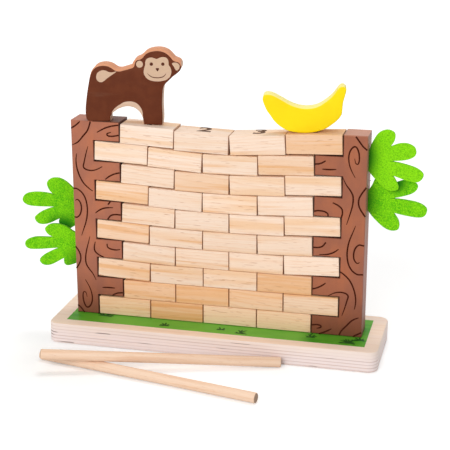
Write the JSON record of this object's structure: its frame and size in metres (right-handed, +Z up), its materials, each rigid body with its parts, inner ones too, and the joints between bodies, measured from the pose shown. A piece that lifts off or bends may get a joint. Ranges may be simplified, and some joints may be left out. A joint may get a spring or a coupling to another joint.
{
  "type": "stacking game",
  "caption": "Wooden monkey stacking game: loose bricks laid as a wall between two toothed tree trunks on a board, with felt leaves, a monkey, a banana and push sticks.",
  "frame": {"origin": "middle of the base board's underside, where it rests on the table", "axes": "+Z up, +X along the wall to the players' right, -Y towards the players in front of the wall"},
  "size_m": [0.3721, 0.1715, 0.268],
  "materials": {
    "plywood": "birch plywood, green printed panel on top",
    "bark_paint": "satin brown paint with printed bark lines",
    "pine": "bare sanded pine",
    "felt": "lime green felt",
    "steel": "zinc plated",
    "monkey_paint": "dark brown print on both faces, bare edges",
    "banana_paint": "satin yellow paint",
    "beech": "bare dowel"
  },
  "bodies": {
    "stand": {"base_board": "plywood", "left_trunk": "bark_paint", "right_trunk": "bark_paint", "leaf_left_upper": "felt", "leaf_left_lower": "felt", "leaf_right_upper": "felt", "leaf_right_lower": "felt", "screw_left_front": "steel", "screw_left_back": "steel", "screw_right_front": "steel", "screw_right_back": "steel"},
    "brick_r01_c1": {"brick_r01_c1": "pine"},
    "brick_r01_c2": {"brick_r01_c2": "pine"},
    "brick_r01_c3": {"brick_r01_c3": "pine"},
    "brick_r01_c4": {"brick_r01_c4": "pine"},
    "brick_r02_c1": {"brick_r02_c1": "pine"},
    "brick_r02_c2": {"brick_r02_c2": "pine"},
    "brick_r02_c3": {"brick_r02_c3": "pine"},
    "brick_r02_c4": {"brick_r02_c4": "pine"},
    "brick_r03_c1": {"brick_r03_c1": "pine"},
    "brick_r03_c2": {"brick_r03_c2": "pine"},
    "brick_r03_c3": {"brick_r03_c3": "pine"},
    "brick_r03_c4": {"brick_r03_c4": "pine"},
    "brick_r04_c1": {"brick_r04_c1": "pine"},
    "brick_r04_c2": {"brick_r04_c2": "pine"},
    "brick_r04_c3": {"brick_r04_c3": "pine"},
    "brick_r04_c4": {"brick_r04_c4": "pine"},
    "brick_r05_c1": {"brick_r05_c1": "pine"},
    "brick_r05_c2": {"brick_r05_c2": "pine"},
    "brick_r05_c3": {"brick_r05_c3": "pine"},
    "brick_r05_c4": {"brick_r05_c4": "pine"},
    "brick_r06_c1": {"brick_r06_c1": "pine"},
    "brick_r06_c2": {"brick_r06_c2": "pine"},
    "brick_r06_c3": {"brick_r06_c3": "pine"},
    "brick_r06_c4": {"brick_r06_c4": "pine"},
    "brick_r07_c1": {"brick_r07_c1": "pine"},
    "brick_r07_c2": {"brick_r07_c2": "pine"},
    "brick_r07_c3": {"brick_r07_c3": "pine"},
    "brick_r07_c4": {"brick_r07_c4": "pine"},
    "brick_r08_c1": {"brick_r08_c1": "pine"},
    "brick_r08_c2": {"brick_r08_c2": "pine"},
    "brick_r08_c3": {"brick_r08_c3": "pine"},
    "brick_r08_c4": {"brick_r08_c4": "pine"},
    "brick_r09_c1": {"brick_r09_c1": "pine"},
    "brick_r09_c2": {"brick_r09_c2": "pine"},
    "brick_r09_c3": {"brick_r09_c3": "pine"},
    "brick_r09_c4": {"brick_r09_c4": "pine"},
    "brick_r10_c1": {"brick_r10_c1": "pine"},
    "brick_r10_c2": {"brick_r10_c2": "pine"},
    "brick_r10_c3": {"brick_r10_c3": "pine"},
    "brick_r10_c4": {"brick_r10_c4": "pine"},
    "monkey": {"monkey": "monkey_paint"},
    "banana": {"banana": "banana_paint"},
    "lower_push_stick": {"lower_push_stick": "beech"},
    "upper_push_stick": {"upper_push_stick": "beech"}
  },
  "joints": [
    {"name": "monkey_lift", "type": "slide", "parent": "stand", "child": "monkey", "axis": [0, 0, 1], "range_m": [0, 0.06]},
    {"name": "banana_lift", "type": "slide", "parent": "stand", "child": "banana", "axis": [0, 0, 1], "range_m": [0, 0.06]},
    {"name": "upper_push_stick_lift", "type": "slide", "parent": "stand", "child": "upper_push_stick", "axis": [0, 0, 1], "range_m": [0, 0.04]},
    {"name": "lower_push_stick_draw", "type": "slide", "parent": "stand", "child": "lower_push_stick", "axis": [0.9794, -0.2021, 0], "range_m": [0, 0.06]},
    {"name": "push_brick_r01_c1", "type": "slide", "parent": "stand", "child": "brick_r01_c1", "axis": [0, 1, 0], "range_m": [-0.03, 0.03]},
    {"name": "push_brick_r01_c2", "type": "slide", "parent": "stand", "child": "brick_r01_c2", "axis": [0, 1, 0], "range_m": [-0.03, 0.03]},
    {"name": "push_brick_r01_c3", "type": "slide", "parent": "stand", "child": "brick_r01_c3", "axis": [0, 1, 0], "range_m": [-0.03, 0.03]},
    {"name": "push_brick_r01_c4", "type": "slide", "parent": "stand", "child": "brick_r01_c4", "axis": [0, 1, 0], "range_m": [-0.03, 0.03]},
    {"name": "push_brick_r02_c1", "type": "slide", "parent": "stand", "child": "brick_r02_c1", "axis": [0, 1, 0], "range_m": [-0.03, 0.03]},
    {"name": "push_brick_r02_c2", "type": "slide", "parent": "stand", "child": "brick_r02_c2", "axis": [0, 1, 0], "range_m": [-0.03, 0.03]},
    {"name": "push_brick_r02_c3", "type": "slide", "parent": "stand", "child": "brick_r02_c3", "axis": [0, 1, 0], "range_m": [-0.03, 0.03]},
    {"name": "push_brick_r02_c4", "type": "slide", "parent": "stand", "child": "brick_r02_c4", "axis": [0, 1, 0], "range_m": [-0.03, 0.03]},
    {"name": "push_brick_r03_c1", "type": "slide", "parent": "stand", "child": "brick_r03_c1", "axis": [0, 1, 0], "range_m": [-0.03, 0.03]},
    {"name": "push_brick_r03_c2", "type": "slide", "parent": "stand", "child": "brick_r03_c2", "axis": [0, 1, 0], "range_m": [-0.03, 0.03]},
    {"name": "push_brick_r03_c3", "type": "slide", "parent": "stand", "child": "brick_r03_c3", "axis": [0, 1, 0], "range_m": [-0.03, 0.03]},
    {"name": "push_brick_r03_c4", "type": "slide", "parent": "stand", "child": "brick_r03_c4", "axis": [0, 1, 0], "range_m": [-0.03, 0.03]},
    {"name": "push_brick_r04_c1", "type": "slide", "parent": "stand", "child": "brick_r04_c1", "axis": [0, 1, 0], "range_m": [-0.03, 0.03]},
    {"name": "push_brick_r04_c2", "type": "slide", "parent": "stand", "child": "brick_r04_c2", "axis": [0, 1, 0], "range_m": [-0.03, 0.03]},
    {"name": "push_brick_r04_c3", "type": "slide", "parent": "stand", "child": "brick_r04_c3", "axis": [0, 1, 0], "range_m": [-0.03, 0.03]},
    {"name": "push_brick_r04_c4", "type": "slide", "parent": "stand", "child": "brick_r04_c4", "axis": [0, 1, 0], "range_m": [-0.03, 0.03]},
    {"name": "push_brick_r05_c1", "type": "slide", "parent": "stand", "child": "brick_r05_c1", "axis": [0, 1, 0], "range_m": [-0.03, 0.03]},
    {"name": "push_brick_r05_c2", "type": "slide", "parent": "stand", "child": "brick_r05_c2", "axis": [0, 1, 0], "range_m": [-0.03, 0.03]},
    {"name": "push_brick_r05_c3", "type": "slide", "parent": "stand", "child": "brick_r05_c3", "axis": [0, 1, 0], "range_m": [-0.03, 0.03]},
    {"name": "push_brick_r05_c4", "type": "slide", "parent": "stand", "child": "brick_r05_c4", "axis": [0, 1, 0], "range_m": [-0.03, 0.03]},
    {"name": "push_brick_r06_c1", "type": "slide", "parent": "stand", "child": "brick_r06_c1", "axis": [0, 1, 0], "range_m": [-0.03, 0.03]},
    {"name": "push_brick_r06_c2", "type": "slide", "parent": "stand", "child": "brick_r06_c2", "axis": [0, 1, 0], "range_m": [-0.03, 0.03]},
    {"name": "push_brick_r06_c3", "type": "slide", "parent": "stand", "child": "brick_r06_c3", "axis": [0, 1, 0], "range_m": [-0.03, 0.03]},
    {"name": "push_brick_r06_c4", "type": "slide", "parent": "stand", "child": "brick_r06_c4", "axis": [0, 1, 0], "range_m": [-0.03, 0.03]},
    {"name": "push_brick_r07_c1", "type": "slide", "parent": "stand", "child": "brick_r07_c1", "axis": [0, 1, 0], "range_m": [-0.03, 0.03]},
    {"name": "push_brick_r07_c2", "type": "slide", "parent": "stand", "child": "brick_r07_c2", "axis": [0, 1, 0], "range_m": [-0.03, 0.03]},
    {"name": "push_brick_r07_c3", "type": "slide", "parent": "stand", "child": "brick_r07_c3", "axis": [0, 1, 0], "range_m": [-0.03, 0.03]},
    {"name": "push_brick_r07_c4", "type": "slide", "parent": "stand", "child": "brick_r07_c4", "axis": [0, 1, 0], "range_m": [-0.03, 0.03]},
    {"name": "push_brick_r08_c1", "type": "slide", "parent": "stand", "child": "brick_r08_c1", "axis": [0, 1, 0], "range_m": [-0.03, 0.03]},
    {"name": "push_brick_r08_c2", "type": "slide", "parent": "stand", "child": "brick_r08_c2", "axis": [0, 1, 0], "range_m": [-0.03, 0.03]},
    {"name": "push_brick_r08_c3", "type": "slide", "parent": "stand", "child": "brick_r08_c3", "axis": [0, 1, 0], "range_m": [-0.03, 0.03]},
    {"name": "push_brick_r08_c4", "type": "slide", "parent": "stand", "child": "brick_r08_c4", "axis": [0, 1, 0], "range_m": [-0.03, 0.03]},
    {"name": "push_brick_r09_c1", "type": "slide", "parent": "stand", "child": "brick_r09_c1", "axis": [0, 1, 0], "range_m": [-0.03, 0.03]},
    {"name": "push_brick_r09_c2", "type": "slide", "parent": "stand", "child": "brick_r09_c2", "axis": [0, 1, 0], "range_m": [-0.03, 0.03]},
    {"name": "push_brick_r09_c3", "type": "slide", "parent": "stand", "child": "brick_r09_c3", "axis": [0, 1, 0], "range_m": [-0.03, 0.03]},
    {"name": "push_brick_r09_c4", "type": "slide", "parent": "stand", "child": "brick_r09_c4", "axis": [0, 1, 0], "range_m": [-0.03, 0.03]},
    {"name": "push_brick_r10_c1", "type": "slide", "parent": "stand", "child": "brick_r10_c1", "axis": [0, 1, 0], "range_m": [-0.03, 0.03]},
    {"name": "push_brick_r10_c2", "type": "slide", "parent": "stand", "child": "brick_r10_c2", "axis": [0, 1, 0], "range_m": [-0.03, 0.03]},
    {"name": "push_brick_r10_c3", "type": "slide", "parent": "stand", "child": "brick_r10_c3", "axis": [0, 1, 0], "range_m": [-0.03, 0.03]},
    {"name": "push_brick_r10_c4", "type": "slide", "parent": "stand", "child": "brick_r10_c4", "axis": [0, 1, 0], "range_m": [-0.03, 0.03]}
  ]
}
